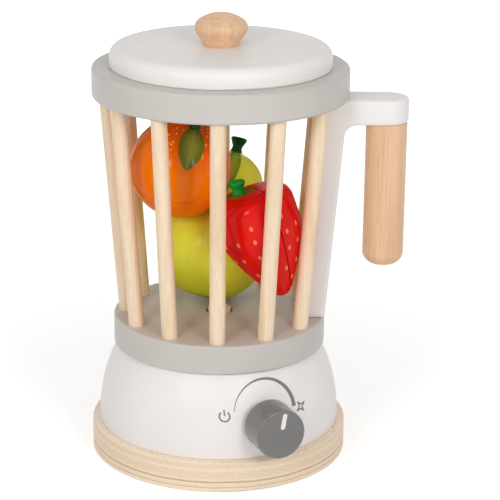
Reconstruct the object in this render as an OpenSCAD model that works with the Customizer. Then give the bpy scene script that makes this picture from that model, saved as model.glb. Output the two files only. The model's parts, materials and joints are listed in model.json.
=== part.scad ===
// Toy blender: a wooden play blender with a caged jug, a lift-off lid and play fruit.
// Millimetres, +Z up. The origin is on the jug's axis, on the surface that the toy stands on.
// +X points along the handle. The control knob faces the front, which is -Y.

/* [Base] */
// Diameter of the plywood base plate
plate_d = 132.8; // [128:0.2:150]
// Thickness of the plywood base plate
plate_h = 16; // [12:0.5:22]
// Rounding of the base plate's edges
plate_edge_r = 1; // [0.5:0.25:3]
// Widest diameter of the domed housing
housing_d = 124.8; // [116:0.2:130]
// Height of the domed housing
housing_h = 42.5; // [40:0.5:50]
// Radius of the curve of the housing's side
housing_curve_r = 78.5; // [72:0.5:100]
// Height of the housing's widest place above its lower edge
housing_belly_h = 3.6; // [2:0.2:8]
// Diameter of the hollow for the cam
cavity_d = 48; // [40:1:56]
// Thickness of wood left above the cam's hollow
roof_t = 8.5; // [6:0.5:10]
// Diameter of the boss that centres the jug
boss_d = 24; // [20:0.5:30]
// Height of the boss that centres the jug
boss_h = 5; // [3:0.5:7]

/* [Control] */
// Diameter of the control knob
knob_d = 25.6; // [18:0.2:30]
// Length of the control knob
knob_len = 16.7; // [13:0.1:22]
// Rounding of the knob's rims
knob_edge_r = 0.9; // [0.3:0.1:2]
// Height of the knob's axis above the housing's lower edge
knob_rise = 18.4; // [17:0.2:21]
// Angle of the knob round the base, from the front towards the handle
knob_turn = 24.1; // [0:0.1:60]
// Gap between the knob and the housing's widest place
knob_gap = 0.4; // [0.2:0.1:2]
// Diameter of the control shaft
shaft_d = 8; // [6:0.5:9]
// Depth of the shaft in the knob
shaft_in_knob = 11; // [6:0.5:12]
// Depth of the shaft's far end in the housing
shaft_tail = 9; // [5:0.5:14]
// Clockwise angle of the pointer from straight up
pointer_turn = 10; // [-30:1:30]
// Length of the pointer
pointer_len = 8.4; // [4:0.2:10]
// Width of the pointer
pointer_w = 2.3; // [1.2:0.1:4]
// Distance of the pointer's outer end from the knob's rim
pointer_inset = 1.6; // [1:0.1:4]

/* [Lift peg] */
// Diameter of the peg that nudges the fruit
peg_d = 12; // [8:0.5:13]
// Height of the peg's top above the jug floor at rest
peg_stand = 3.5; // [2:0.1:3.9]
// Rise of the peg's rounded end
peg_dome = 2; // [1:0.25:4]
// Diameter of the peg's foot
foot_d = 20; // [16:0.5:26]
// Thickness of the peg's foot
foot_t = 3; // [2:0.5:3.5]
// Distance from the shaft's axis to the peg's foot at rest
cam_reach = 10; // [9.5:0.1:10.5]
// Lift of the peg for each radian that the knob is turned
cam_lift = 1.8; // [0.5:0.1:2]
// Thickness of the cam
cam_t = 12; // [8:0.5:16]
// Turn of the knob down from rest, in degrees
turn_down = 90; // [30:5:100]
// Turn of the knob up from rest, in degrees
turn_up = 50; // [20:5:60]
// Diameter of the pin that holds the cam on its shaft
cam_pin_d = 3; // [2:0.25:3.5]

/* [Jug] */
// Diameter of the jug floor
floor_d = 109.5; // [107:0.1:116]
// Thickness of the jug floor
floor_h = 15; // [13:0.5:20]
// Diameter of the peg's hole in the jug floor
floor_hole_d = 14; // [13.5:0.1:18]
// Diameter of the rods of the cage
rod_d = 8; // [6:0.1:9]
// Diameter of the circle of rods at the jug floor
rod_circle_low_d = 96.2; // [94:0.1:98]
// Diameter of the circle of rods at the top ring
rod_circle_high_d = 115.3; // [110:0.1:117]
// Height of the cage between jug floor and top ring
cage_h = 115.5; // [108:0.5:135]
// Depth of the rods in the floor and in the ring
rod_seat = 8; // [5:0.5:9]
// Number of places round the cage, the first of them taken by the handle
cage_places = 12; // [12:1:12]
// Outer diameter of the top ring
ring_d = 130; // [128:0.5:140]
// Height of the top ring
ring_h = 15; // [13:0.5:20]
// Diameter of the opening in the top ring
ring_bore_d = 100; // [94:0.5:102]
// Rounding of the ring's edges
ring_edge_r = 1.5; // [0.5:0.25:3]
// Rounding of the jug floor's edges
floor_edge_r = 1; // [0.5:0.25:2]

/* [Handle] */
// Width of the handle's bracket
bracket_w = 22; // [18:0.5:24]
// Thickness of the bracket's leg
leg_t = 13; // [10:0.5:14]
// Distance of the leg's foot from the jug floor's rim
leg_inset = 0.25; // [0:0.05:1]
// Thickness of the bracket's arm
arm_t = 13; // [10:0.5:18]
// Distance from the jug's axis to the grip's axis
grip_x = 84.1; // [82:0.1:100]
// Rounding of the inside corner between leg and arm
arm_fillet_r = 6.5; // [2:0.5:9]
// Diameter of the grip
grip_d = 21; // [16:0.5:22]
// Length of the grip
grip_len = 75; // [55:1:90]
// Rounding of the grip's lower end
grip_end_r = 6.5; // [2:0.5:7]
// Diameter of the hidden dowels that hold the bracket
bracket_dowel_d = 6; // [4:0.5:8]
// Depth of each end of a bracket dowel
bracket_dowel_in = 8; // [5:0.5:10]
// Diameter of the hidden dowel in the grip
grip_dowel_d = 8; // [5:0.5:10]
// Depth of the grip's dowel in the grip
grip_dowel_in = 20; // [10:1:30]
// Depth of the grip's dowel in the arm
arm_dowel_in = 8; // [5:0.5:9]

/* [Lid] */
// Diameter of the lid
lid_d = 112.2; // [106:0.2:124]
// Thickness of the lid
lid_h = 10.2; // [8:0.2:14]
// Rounding of the lid's upper edge
lid_edge_r = 5; // [2:0.25:6]
// Height of the plug under the lid
lid_plug_h = 7; // [4:0.5:8]
// Play of the plug in the ring, on each side
lid_play = 0.6; // [0.3:0.05:1.5]
// Diameter of the lid knob's foot
lid_knob_foot_d = 16.8; // [14:0.2:18]
// Widest diameter of the lid knob
lid_knob_d = 26.8; // [24:0.2:32]
// Height of the lid knob
lid_knob_h = 16.6; // [15:0.2:22]
// Height of the lid knob's widest place
lid_knob_wide_h = 9.2; // [8.6:0.1:10]
// Rounding of the lid knob's side
lid_knob_side_r = 4.6; // [3.6:0.1:5]

/* [Fruit] */
// Diameter of the orange
orange_d = 51.8; // [46:0.2:54]
// Angle of the orange round the jug, from the handle
orange_turn = -172.5; // [-176:0.5:-162]
// Distance of the orange from the jug's axis
orange_out = 20.4; // [17:0.1:22]
// Diameter of the pear's body
pear_d = 56.6; // [54:0.2:58]
// Diameter of the pear's neck
pear_neck_d = 36.8; // [32:0.2:38]
// Distance from the middle of the pear's body to the middle of its neck
pear_neck_rise = 32.9; // [30:0.1:36]
// Radius of the hollow curve of the pear's waist
pear_waist_r = 21; // [12:0.5:22]
// Gap between the pear and the jug floor
pear_float = 0.8; // [0.4:0.1:3]
// Diameter of the strawberry
strawberry_d = 43; // [38:0.2:44]
// Diameter of the strawberry's tip
strawberry_tip_d = 12.2; // [11:0.2:15]
// Distance from the strawberry's widest place to the middle of its tip
strawberry_drop = 32.2; // [31:0.1:37]
// Height of the strawberry's flat top above its widest place
strawberry_rise = 18.6; // [14:0.1:19.5]
// Rounding of the strawberry's shoulder
strawberry_shoulder_r = 9; // [6:0.5:11]
// Distance of the strawberry's stem from its axis
strawberry_stem_out = 4.2; // [0:0.1:5]
// Radius of the curve of the strawberry's side
strawberry_side_r = 110; // [80:1:200]
// Further gap between the strawberry and the two rods that it leans on
strawberry_in = 0.2; // [0.1:0.1:3]
// Gap between resting fruit, and between fruit and rods
fruit_gap = 0.35; // [0.3:0.01:0.6]
// Diameter of the touch-fastener discs in the fruit
fastener_d = 18; // [12:0.5:22]
// Thickness of one touch-fastener disc
fastener_t = 1.4; // [1:0.1:2]
// Gap between the halves of a fruit
half_gap = 0.4; // [0.2:0.05:0.8]
// Height of the orange's stem and of the pear's
stem_h = 8; // [5:0.5:8.5]
// Height of the strawberry's stem
strawberry_stem_h = 6.8; // [5:0.1:8.5]
// Diameter of a stem's upper end
stem_top_d = 8.6; // [6:0.2:9]
// Height of the straight rim round a stem's upper end
stem_rim_h = 1.2; // [0.6:0.1:1.8]
// Diameter of a stem's waist
stem_waist_d = 4.8; // [4.2:0.2:6]
// Height of a stem's waist
stem_waist_z = 2.8; // [1.5:0.1:3.2]
// Diameter of a stem's foot
stem_foot_d = 6.4; // [5.8:0.1:8]
// Diameter of the peg of a stem
stem_peg_d = 4; // [2.5:0.1:4]
// Depth of a stem's peg in its fruit
stem_peg_in = 6; // [4:0.5:8]

/* [Fasteners] */
// Diameter of the screws' shanks
screw_d = 3.5; // [3:0.1:4.5]
// Diameter of the screws' heads
screw_head_d = 7; // [6.5:0.1:9]
// Length of the base screws
base_screw_len = 26; // [22:0.5:30]
// Radius of the circle of base screws
base_screw_out = 42; // [36:0.5:48]
// Number of base screws
base_screws_n = 3; // [3:1:6]
// Length of the lid screw
lid_screw_len = 26; // [22:0.5:29]

/* [Fits] */
// Play of turning and sliding shafts, on each side
run_gap = 0.08; // [0.02:0.01:0.1]
// Play of glued and pressed joints, on each side
glue_gap = 0.05; // [0.02:0.01:0.1]
// Spare depth at the end of a blind hole
end_gap = 0.3; // [0.1:0.1:1]

/* [Hidden] */
$fn = 96;
cut = 1;
plenty = 400;

RODS = cage_places - 1;
ROD_NAMES = ["rod_01", "rod_02", "rod_03", "rod_04", "rod_05", "rod_06",
             "rod_07", "rod_08", "rod_09", "rod_10", "rod_11"];

// Heights of the stacked parts
housing_z = plate_h;
floor_z = housing_z + housing_h;
floor_top = floor_z + floor_h;
ring_z = floor_top + cage_h;
lid_z = ring_z + ring_h;
knob_z = housing_z + knob_rise;
arm_z = ring_z - arm_t;

// The cage's rods lean outwards from floor to ring
rod_low_r = rod_circle_low_d / 2;
rod_high_r = rod_circle_high_d / 2;
lean_slope = (rod_high_r - rod_low_r) / cage_h;
lean = atan(lean_slope);
rod_free_len = cage_h / cos(lean);
place_angle = 360 / cage_places;

// The control's shaft, cam and peg
knob_back = housing_d / 2 + knob_gap;
shaft_back = -(cavity_d / 2 + shaft_tail);
shaft_front = knob_back + shaft_in_knob;
foot_z = knob_z + cam_reach + run_gap;
peg_top = floor_top + peg_stand;
cavity_h = housing_h - roof_t;
cam_spare_turn = 10;
cam_step = 5;
deg = 180 / PI;

// The bracket's leg follows the lean of the rods
leg_foot_x = floor_d / 2 - leg_inset;
function leg_outer_x(z) = leg_foot_x + lean_slope * (z - floor_top);
function leg_middle_x(z) = leg_outer_x(z) - leg_t / 2;

// Clear radius inside the cage at a height
function cage_r(z) = rod_low_r + lean_slope * (z - floor_top) - rod_d / (2 * cos(lean));
// How far out a ball can lie at a height
function out_at(z, r) = cage_r(z) - (r + fruit_gap) / cos(lean);
// How far out a ball can lie at a height, between two rods
function out_between_rods(z, r) =
    let (circle_r = rod_low_r + lean_slope * (z - floor_top),
        apart = (r + rod_d / 2 + fruit_gap) / cos(lean))
    circle_r * cos(place_angle / 2) - sqrt(apart * apart - pow(circle_r * sin(place_angle / 2), 2));
// How far out a ball can lie when a second ball, away from it by the vector n, may lie at most c out
function out_with(e, n, c) = -e * n + sqrt(max(0, (e * n) * (e * n) - n * n + c * c));
// How far above a ball another one lies when their middles are h apart sideways,
// or far below it where they pass each other
function rise_on(h, sum_r) = h < sum_r ? sqrt(sum_r * sum_r - h * h) : -plenty;
// The middle of a curve that runs past two balls, the second one h above the first,
// from the distances that it keeps to their middles
function side_middle(to_first, to_second, h) =
    let (z = (to_first * to_first - to_second * to_second + h * h) / (2 * h))
    [sqrt(to_first * to_first - z * z), z];
function around(angle) = [cos(angle), sin(angle), 0];
function pointing(tilt, angle) = [sin(tilt) * cos(angle), sin(tilt) * sin(angle), cos(tilt)];
function flat(v) = [v.x, v.y, 0];

// The pear stands at the back and leans on the rods
pear_r = pear_d / 2;
pear_neck_r = pear_neck_d / 2;
pear_tilt = 26;
pear_lean_angle = 60.2;
pear_turn = 101.7;
pear_axis = pointing(pear_tilt, pear_lean_angle);
pear_z = floor_top + pear_float + pear_r;
pear_neck_z = pear_z + pear_neck_rise * pear_axis.z;
pear_out = min(
    out_at(pear_z, pear_r),
    out_with(around(pear_turn), flat(pear_neck_rise * pear_axis), out_at(pear_neck_z, pear_neck_r)));
pear_at = pear_out * around(pear_turn) + [0, 0, pear_z];
pear_neck_at = pear_at + pear_neck_rise * pear_axis;

// The strawberry leans on the pear and on two rods at the front, by the handle
strawberry_r = strawberry_d / 2;
strawberry_tip_r = strawberry_tip_d / 2;
strawberry_shoulder = [strawberry_r - strawberry_shoulder_r, strawberry_rise - strawberry_shoulder_r];
strawberry_tilt = 20.4;
strawberry_lean_angle = 170;
strawberry_turn = -1.5 * place_angle;
strawberry_axis = pointing(strawberry_tilt, strawberry_lean_angle);
// The way from an axis that leans by a tilt, at an angle round it
function way_from(tilt, a) = cos(a) * pointing(tilt + 90, strawberry_lean_angle)
    + sin(a) * around(strawberry_lean_angle + 90);
// Balls round a place on the strawberry's axis
function strawberry_ring(height, out, r) =
    [for (a = [0:15:345]) concat(height * strawberry_axis + out * way_from(strawberry_tilt, a), r)];
strawberry_side_at = side_middle(strawberry_side_r - strawberry_r, strawberry_side_r - strawberry_tip_r,
    strawberry_drop);
// Balls that fill the strawberry, from its widest place to its tip, and round its shoulder
strawberry_balls = concat(
    [for (t = [0:0.125:1]) concat(-t * strawberry_drop * strawberry_axis,
        strawberry_side_r - norm(strawberry_side_at - [0, t * strawberry_drop]))],
    strawberry_ring(strawberry_shoulder.y, strawberry_shoulder.x, strawberry_shoulder_r));
function ball_z(ball, at, below, below_r) =
    below.z + rise_on(norm(flat(at) + flat(ball) - flat(below)), ball[3] + below_r + fruit_gap) - ball.z;
function strawberry_place(z) =
    (out_between_rods(z, strawberry_r) - strawberry_in) * around(strawberry_turn);
function strawberry_rest(at) = max([for (b = strawberry_balls) ball_z(b, at, pear_at, pear_r)]);
// Height and distance depend on each other, so they are found in a few rounds
settling_rounds = 6;
function strawberry_height(rounds) = rounds <= 0
    ? pear_z + pear_r
    : strawberry_rest(strawberry_place(strawberry_height(rounds - 1)));
strawberry_z = strawberry_height(settling_rounds);
strawberry_at = strawberry_place(strawberry_z) + [0, 0, strawberry_z];
// Its stem stands beside its axis, and straighter
strawberry_stem_tilt = 12.4;
strawberry_stem_foot = strawberry_rise * strawberry_axis
    + strawberry_stem_out * way_from(strawberry_tilt, 0);
strawberry_stem_top = strawberry_stem_foot
    + strawberry_stem_h * pointing(strawberry_stem_tilt, strawberry_lean_angle);

// The orange lies on top, on the pear, the strawberry and its stem
orange_r = orange_d / 2;
orange_cut_tilt = 30.6;
orange_cut_angle = -99.5;
orange_stem_tilt = 24.5;
orange_stem_angle = -46;
orange_flat = orange_out * around(orange_turn);
strawberry_stem_rim = [for (a = [0:15:345])
    concat(strawberry_stem_top + stem_top_d / 2 * way_from(strawberry_stem_tilt, a), 0)];
orange_supports = concat(
    [concat(pear_at, pear_r), concat(pear_neck_at, pear_neck_r)],
    [for (b = concat(strawberry_balls, strawberry_stem_rim))
        [b.x + strawberry_at.x, b.y + strawberry_at.y, b.z + strawberry_at.z, b[3]]]);
orange_z = max([for (s = orange_supports)
    s.z + rise_on(norm(orange_flat - flat(s)), orange_r + s[3] + fruit_gap)]);
orange_at = orange_flat + [0, 0, orange_z];

// Places of the fruits' cuts, from the middle of the body
pear_cut_out = -3;
strawberry_cut_out = 4;
pear_cut_angle = -90;
strawberry_cut_angle = 20;
fastener_recess = fastener_t + glue_gap - half_gap / 2;

// How deep small pieces sit, and where the screws stand
base_screw_sink = 1;
base_screws_turn = 30;
lid_screw_sink = 0.5;
pointer_sink = 1;
stem_sink = 0.5;
lid_plug_z = lid_z - lid_plug_h;
lid_screw_z = lid_plug_z + lid_screw_sink;

ply = "burlywood";
rod_wood = "wheat";
beech = "tan";
white_paint = "white";
grey_paint = "lightgrey";
dark_grey_paint = "dimgrey";
steel = "silver";

// Half outline of a round disc with rounded lower and upper edges
module disc_outline(r, h, low_r, high_r) {
    square([r - max(low_r, high_r), h]);
    translate([0, low_r]) square([r, h - low_r - high_r]);
    square([r - low_r, h / 2]);
    translate([0, h / 2]) square([r - high_r, h / 2]);
    translate([r - low_r, low_r]) circle(low_r);
    translate([r - high_r, h - high_r]) circle(high_r);
}

module disc(r, h, low_r, high_r) {
    rotate_extrude() intersection() {
        disc_outline(r, h, low_r, high_r);
        square([r, h]);
    }
}

// A countersunk screw that points up, with its head's face at z = 0
module screw(len, gap = 0) {
    head_h = (screw_head_d - screw_d) / 2;
    cylinder(h = len, d = screw_d + 2 * gap);
    cylinder(h = head_h, d1 = screw_head_d + 2 * gap, d2 = screw_d + 2 * gap);
}

// The hole for that screw, open below its head
module screw_hole(len) {
    screw(len + end_gap, glue_gap);
    translate([0, 0, -cut]) cylinder(h = cut + 0.01, d = screw_head_d + 2 * glue_gap);
}

module driver_slot() {
    slot_w = 0.9;
    slot_depth = 1;
    translate([-screw_head_d, -slot_w / 2, -cut]) cube([2 * screw_head_d, slot_w, cut + slot_depth]);
}

module at_base_screws() {
    for (i = [0:base_screws_n - 1])
        rotate([0, 0, base_screws_turn + i * 360 / base_screws_n])
            translate([base_screw_out, 0, base_screw_sink]) children();
}

// Places children along the knob's axis: z points out of the base, y up
module on_knob_axis() {
    translate([0, 0, knob_z]) rotate([90, 0, knob_turn]) children();
}

module base_plate() {
    color(ply) difference() {
        disc(plate_d / 2, plate_h, plate_edge_r, plate_edge_r);
        at_base_screws() {
            screw_hole(plate_h + cut);
            translate([0, 0, -base_screw_sink - cut])
                cylinder(h = base_screw_sink + cut, d = screw_head_d + 2 * glue_gap);
        }
    }
}

module base_housing() {
    color(white_paint) difference() {
        union() {
            translate([0, 0, housing_z]) rotate_extrude() intersection() {
                translate([housing_d / 2 - housing_curve_r, housing_belly_h])
                    circle(housing_curve_r, $fn = 360);
                square([housing_d / 2, housing_h]);
            }
            translate([0, 0, floor_z - cut]) cylinder(h = boss_h + cut, d = boss_d);
        }
        translate([0, 0, housing_z - cut]) cylinder(h = cavity_h + cut, d = cavity_d);
        cylinder(h = plenty, d = peg_d + 2 * run_gap);
        on_knob_axis() translate([0, 0, shaft_back - end_gap])
            cylinder(h = plenty, d = shaft_d + 2 * run_gap);
        at_base_screws() screw_hole(base_screw_len);
    }
}

module base_screws() {
    color(steel) at_base_screws() difference() {
        screw(base_screw_len);
        driver_slot();
    }
}

module pointer_outline(gap) {
    w = pointer_w + 2 * gap;
    outer = knob_d / 2 - pointer_inset - pointer_w / 2;
    inner = outer - pointer_len + pointer_w;
    translate([-w / 2, inner]) square([w, outer - inner]);
    for (y = [inner, outer]) translate([0, y]) circle(d = w);
}

module pointer_bar(gap, sink) {
    pointer_t = 1.2;
    translate([0, 0, knob_back + knob_len - sink]) rotate([0, 0, -pointer_turn])
        linear_extrude(pointer_t) pointer_outline(gap);
}

module control_knob() {
    color(dark_grey_paint) on_knob_axis() difference() {
        translate([0, 0, knob_back]) disc(knob_d / 2, knob_len, knob_edge_r, knob_edge_r);
        translate([0, 0, knob_back - cut])
            cylinder(h = shaft_in_knob + end_gap + cut, d = shaft_d + 2 * glue_gap);
        pointer_bar(glue_gap, pointer_sink);
    }
}

module knob_pointer() {
    color(white_paint) on_knob_axis() pointer_bar(0, pointer_sink);
}

module cam_pin_shape(gap) {
    pin_len = cam_reach + shaft_d / 2;
    rotate([90, 0, 0]) translate([0, 0, -shaft_d / 2 - 1 - gap])
        cylinder(h = pin_len - 2 + 2 * gap, d = cam_pin_d + 2 * gap);
}

module control_shaft() {
    color(rod_wood) on_knob_axis() difference() {
        translate([0, 0, shaft_back]) cylinder(h = shaft_front - shaft_back, d = shaft_d);
        cam_pin_shape(glue_gap);
    }
}

// The cam's edge lies cam_height(a) from the axis, square to the direction a.
// While the knob turns through its range the height changes evenly with the angle,
// and the rest of the edge leads back smoothly.
cam_from = -turn_up - cam_spare_turn;
cam_to = turn_down + cam_spare_turn;
cam_back = 360 + cam_from - cam_to;
cam_slope = -cam_lift;
function cam_even(a) = cam_reach + cam_slope * a / deg;
function blend(t) = t * t * (3 - 2 * t);
function cam_height(a) = a <= cam_to
    ? cam_even(a)
    : let (t = (a - cam_to) / cam_back, w = cam_back / deg)
        cam_even(cam_to) + (cam_even(cam_from) - cam_even(cam_to)) * blend(t)
        + cam_slope * w * (t * (1 - t) * (1 - 2 * t));
function cam_change(a) = (cam_height(a + 0.01) - cam_height(a - 0.01)) / 0.02 * deg;
function cam_point(a) = cam_height(a) * [sin(a), cos(a)] + cam_change(a) * [cos(a), -sin(a)];

module lift_cam() {
    color(beech) on_knob_axis() difference() {
        translate([0, 0, -cam_t / 2]) linear_extrude(cam_t)
            polygon([for (a = [cam_from:cam_step:cam_from + 360 - cam_step]) cam_point(a)]);
        translate([0, 0, -cam_t]) cylinder(h = 2 * cam_t, d = shaft_d + 2 * glue_gap);
        cam_pin_shape(glue_gap);
    }
}

module cam_pin() {
    color(steel) on_knob_axis() cam_pin_shape(0);
}

module lift_peg() {
    dome_r = (peg_d * peg_d / 4 + peg_dome * peg_dome) / (2 * peg_dome);
    color(rod_wood) intersection() {
        translate([0, 0, foot_z + foot_t - 1]) cylinder(h = peg_top - foot_z - foot_t + 1, d = peg_d);
        union() {
            translate([0, 0, peg_top - dome_r]) sphere(dome_r);
            cylinder(h = peg_top - peg_dome, d = 2 * peg_d);
        }
    }
}

module peg_foot() {
    color(beech) translate([0, 0, foot_z]) difference() {
        cylinder(h = foot_t, d = foot_d);
        translate([0, 0, foot_t - 1]) cylinder(h = foot_t, d = peg_d + 2 * glue_gap);
    }
}

// A rod, or with a gap the sockets that it sits in
module rod_shape(i, gap = 0) {
    rotate([0, 0, i * place_angle]) translate([rod_low_r, 0, floor_top]) rotate([0, lean, 0])
        translate([0, 0, -rod_seat - (gap > 0 ? end_gap : 0)])
            cylinder(h = rod_free_len + 2 * rod_seat + (gap > 0 ? 2 * end_gap : 0), d = rod_d + 2 * gap);
}

module rod(i) {
    color(rod_wood) rod_shape(i);
}

module rod_sockets() {
    for (i = [1:RODS]) rod_shape(i, glue_gap);
}

module jug_floor() {
    color(grey_paint) difference() {
        translate([0, 0, floor_z]) disc(floor_d / 2, floor_h, floor_edge_r, floor_edge_r);
        cylinder(h = plenty, d = floor_hole_d);
        translate([0, 0, floor_z - cut]) cylinder(h = boss_h + end_gap + cut, d = boss_d + 2 * end_gap);
        rod_sockets();
        bracket_dowel_shape(floor_top, glue_gap);
    }
}

module top_ring() {
    color(grey_paint) difference() {
        translate([0, 0, ring_z]) disc(ring_d / 2, ring_h, ring_edge_r, ring_edge_r);
        cylinder(h = plenty, d = ring_bore_d);
        rod_sockets();
        bracket_dowel_shape(ring_z, glue_gap);
    }
}

// A dowel that crosses the joint at a height, in the middle of the leg
module bracket_dowel_shape(z, gap = 0) {
    depth = bracket_dowel_in + (gap > 0 ? end_gap : 0);
    translate([leg_middle_x(z), 0, z - depth]) cylinder(h = 2 * depth, d = bracket_dowel_d + 2 * gap);
}

module bracket_dowels() {
    color(rod_wood) for (z = [floor_top, ring_z]) bracket_dowel_shape(z);
}

// Side view of the bracket: x outwards, y up
module bracket_side() {
    fillet_y = arm_z - arm_fillet_r;
    fillet_x = leg_outer_x(fillet_y) + arm_fillet_r / cos(lean);
    leg_point = [fillet_x - arm_fillet_r * cos(lean), fillet_y + arm_fillet_r * sin(lean)];
    end_x = grip_x + bracket_w / 2;
    polygon([
        [leg_outer_x(floor_top) - leg_t, floor_top],
        [leg_outer_x(floor_top), floor_top],
        [leg_outer_x(arm_z), arm_z],
        [end_x, arm_z],
        [end_x, ring_z],
        [leg_outer_x(ring_z) - leg_t, ring_z]]);
    difference() {
        polygon([[leg_outer_x(arm_z), arm_z], leg_point, [fillet_x, fillet_y], [fillet_x, arm_z]]);
        translate([fillet_x, fillet_y]) circle(arm_fillet_r);
    }
}

module handle_bracket() {
    color(white_paint) difference() {
        intersection() {
            rotate([90, 0, 0]) linear_extrude(bracket_w, center = true) bracket_side();
            translate([0, 0, floor_z]) linear_extrude(plenty) {
                translate([0, -bracket_w / 2]) square([grip_x, bracket_w]);
                translate([grip_x, 0]) circle(d = bracket_w);
            }
        }
        for (z = [floor_top, ring_z]) bracket_dowel_shape(z, glue_gap);
        grip_dowel_shape(glue_gap);
    }
}

module grip_dowel_shape(gap = 0) {
    low = arm_z - grip_dowel_in - (gap > 0 ? end_gap : 0);
    high = arm_z + arm_dowel_in + (gap > 0 ? end_gap : 0);
    translate([grip_x, 0, low]) cylinder(h = high - low, d = grip_dowel_d + 2 * gap);
}

module handle_grip() {
    grip_top_r = 0.5;
    color(beech) difference() {
        translate([grip_x, 0, arm_z - grip_len]) disc(grip_d / 2, grip_len, grip_end_r, grip_top_r);
        grip_dowel_shape(glue_gap);
    }
}

module grip_dowel() {
    color(rod_wood) grip_dowel_shape();
}

module lid_disc() {
    lid_low_r = 1;
    color(white_paint) difference() {
        translate([0, 0, lid_z]) disc(lid_d / 2, lid_h, lid_low_r, lid_edge_r);
        lid_screw_hole();
    }
}

module lid_plug() {
    plug_low_r = 1.5;
    plug_high_r = 0.3;
    color(white_paint) difference() {
        translate([0, 0, lid_plug_z])
            disc(ring_bore_d / 2 - lid_play, lid_plug_h, plug_low_r, plug_high_r);
        lid_screw_hole();
    }
}

module lid_screw_hole() {
    translate([0, 0, lid_screw_z]) screw_hole(lid_screw_len);
}

module lid_screw() {
    color(steel) translate([0, 0, lid_screw_z]) difference() {
        screw(lid_screw_len);
        driver_slot();
    }
}

// Half outline of the turned lid knob: a flared foot, a round side and a domed top
module lid_knob_outline() {
    foot = [lid_knob_foot_d / 2, 0];
    side = [lid_knob_d / 2 - lid_knob_side_r, lid_knob_wide_h];
    inner_h = lid_knob_h - lid_knob_side_r;
    dome_y = (inner_h * inner_h - side * side) / (2 * (inner_h - side.y));
    to_side = side - foot;
    flare = atan2(to_side.y, to_side.x) - asin(lid_knob_side_r / norm(to_side));
    touch = foot + sqrt(to_side * to_side - lid_knob_side_r * lid_knob_side_r) * [cos(flare), sin(flare)];
    polygon([[0, 0], foot, touch, side, [0, side.y]]);
    translate(side) circle(lid_knob_side_r);
    intersection() {
        translate([0, dome_y]) circle(lid_knob_h - dome_y, $fn = 180);
        polygon([[0, dome_y], [0, dome_y] + 2 * (side - [0, dome_y]), [0, 2 * lid_knob_h]]);
    }
}

module lid_knob() {
    color(beech) difference() {
        translate([0, 0, lid_z + lid_h]) rotate_extrude() intersection() {
            lid_knob_outline();
            square([lid_knob_d, lid_knob_h]);
        }
        lid_screw_hole();
    }
}

// The solid on one side of a cut: side 1 keeps what is beyond the cut, side -1 what is before it
module keep_side(side, cut_at) {
    low = side > 0 ? cut_at + half_gap / 2 : cut_at - half_gap / 2 - plenty;
    intersection() {
        children();
        translate([-plenty / 2, -plenty / 2, low]) cube(plenty);
    }
}

// Both recesses for the touch-fastener discs at a cut
module fastener_recesses(cut_at) {
    depth = half_gap / 2 + fastener_recess;
    translate([0, 0, cut_at - depth]) cylinder(h = 2 * depth, d = fastener_d + 4 * glue_gap);
}

// The hook disc and the loop disc face each other across the cut
module fastener_discs(cut_at) {
    for (low = [cut_at - fastener_t, cut_at + glue_gap])
        translate([0, 0, low]) cylinder(h = fastener_t - glue_gap, d = fastener_d);
}

// A turned stem that stands on z = 0 with its peg below
module stem(h = stem_h) {
    foot_r = stem_foot_d / 2;
    rotate_extrude() polygon([
        [0, -stem_peg_in], [stem_peg_d / 2, -stem_peg_in], [stem_peg_d / 2, -stem_sink],
        [foot_r, -stem_sink], [foot_r, 0], [stem_waist_d / 2, stem_waist_z],
        [stem_top_d / 2, h - stem_rim_h], [stem_top_d / 2, h], [0, h]]);
}

module stem_hole() {
    translate([0, 0, -stem_peg_in - end_gap])
        cylinder(h = stem_peg_in + end_gap + cut, d = stem_peg_d + 2 * glue_gap);
    translate([0, 0, -stem_sink]) cylinder(h = plenty, d = stem_foot_d + 2 * glue_gap);
}

// Frames of the fruits: z points out of the orange's cut, and up the other fruits
module at_orange() {
    translate(orange_at) rotate([0, orange_cut_tilt, orange_cut_angle]) children();
}

module at_orange_stem() {
    translate(orange_at) rotate([0, orange_stem_tilt, orange_stem_angle])
        translate([0, 0, orange_r]) children();
}

module at_pear() {
    translate(pear_at) rotate([0, 0, pear_lean_angle]) rotate([0, pear_tilt, 0])
        rotate([0, 0, -pear_lean_angle]) children();
}

module at_strawberry() {
    translate(strawberry_at) rotate([0, 0, strawberry_lean_angle]) rotate([0, strawberry_tilt, 0])
        rotate([0, 0, -strawberry_lean_angle]) children();
}

module at_strawberry_stem() {
    translate(strawberry_at + strawberry_stem_foot) rotate([0, strawberry_stem_tilt, strawberry_lean_angle])
        children();
}

// Turns a fruit's frame so that z points across a lengthwise cut, towards the angle
module across(angle) {
    rotate([0, 0, angle]) rotate([0, 90, 0]) children();
}

module orange_half(side) {
    color("darkorange") difference() {
        at_orange() difference() {
            keep_side(side, 0) sphere(orange_r);
            fastener_recesses(0);
        }
        at_orange_stem() stem_hole();
    }
}

module orange_upper_half() {
    orange_half(1);
}

module orange_lower_half() {
    orange_half(-1);
}

module orange_fasteners() {
    color("snow") at_orange() fastener_discs(0);
}

module orange_stem() {
    color("darkgreen") at_orange_stem() stem();
}

function unit(v) = v / norm(v);

// Half outline of a pear: two balls on one axis, with a hollow waist
module pear_outline() {
    neck = [0, pear_neck_rise];
    // The waist's curve just crosses the balls, so that no sliver is left between them
    bite = 0.02;
    waist = side_middle(pear_r + pear_waist_r - bite, pear_neck_r + pear_waist_r - bite, pear_neck_rise);
    circle(pear_r);
    translate(neck) circle(pear_neck_r);
    difference() {
        polygon([[0, 0], waist, neck]);
        translate(waist) circle(pear_waist_r);
    }
}

module pear_whole() {
    pear_flat = 0.93;
    rotate_extrude() intersection() {
        pear_outline();
        translate([0, -pear_flat * pear_r]) square([pear_d, pear_d + pear_neck_rise + pear_neck_d]);
    }
}

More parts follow.
